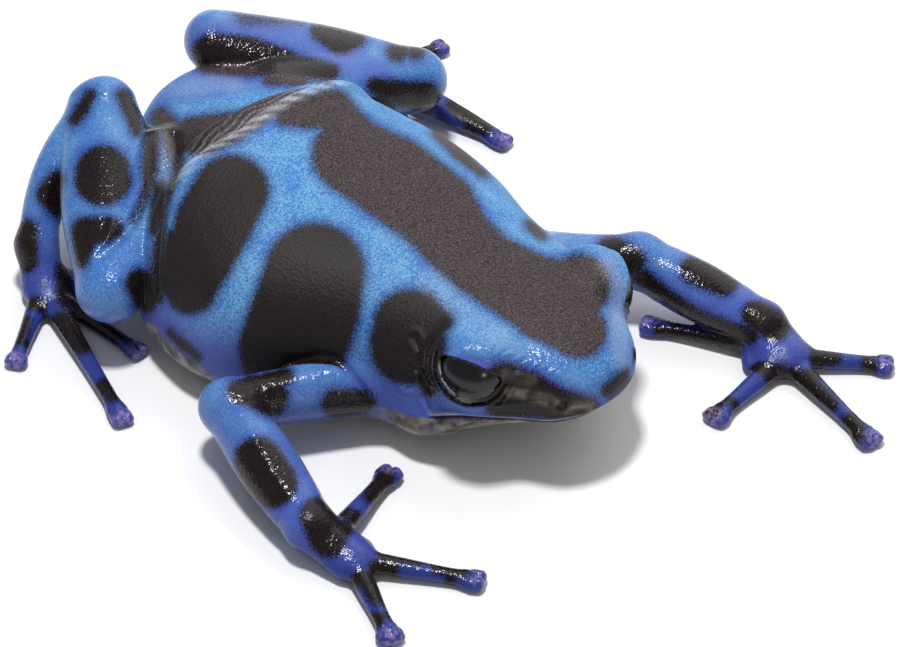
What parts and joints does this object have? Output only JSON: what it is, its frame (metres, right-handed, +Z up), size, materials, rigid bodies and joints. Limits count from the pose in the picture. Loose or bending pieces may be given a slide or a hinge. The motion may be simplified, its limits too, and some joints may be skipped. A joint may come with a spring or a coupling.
{
  "type": "blue-and-black poison dart frog",
  "caption": "Still, life-size poison dart frog sitting low on its belly, hands and feet, with blue and black blotched skin and glossy dark eyes.",
  "frame": {"origin": "on the floor under the middle of the belly, on the belly's flat", "axes": "+Z up, -Y towards the snout, +X towards the frog's own left side"},
  "size_m": [0.043, 0.0514, 0.0114],
  "materials": {
    "skin": "moist skin, blue blotched with brown-black, satin on the back and wet on the limbs",
    "digit": "wet dark skin banded with blue, pinkish at the discs",
    "eye": "polished black"
  },
  "bodies": {
    "root": {"head": "skin", "lower_jaw": "skin", "torso": "skin", "eye_right": "eye", "eye_left": "eye", "upper_arm_right": "skin", "forearm_right": "skin", "hand_right": "skin", "finger_right_1": "digit", "finger_right_2": "digit", "finger_right_3": "digit", "finger_right_4": "digit", "thigh_right": "skin", "shank_right": "skin", "tarsus_right": "skin", "foot_right": "skin", "toe_right_1": "digit", "toe_right_2": "digit", "toe_right_3": "digit", "toe_right_4": "digit", "toe_right_5": "digit", "upper_arm_left": "skin", "forearm_left": "skin", "hand_left": "skin", "finger_left_1": "digit", "finger_left_2": "digit", "finger_left_3": "digit", "finger_left_4": "digit", "thigh_left": "skin", "shank_left": "skin", "tarsus_left": "skin", "foot_left": "skin", "toe_left_1": "digit", "toe_left_2": "digit", "toe_left_3": "digit", "toe_left_4": "digit", "toe_left_5": "digit"}
  },
  "joints": []
}
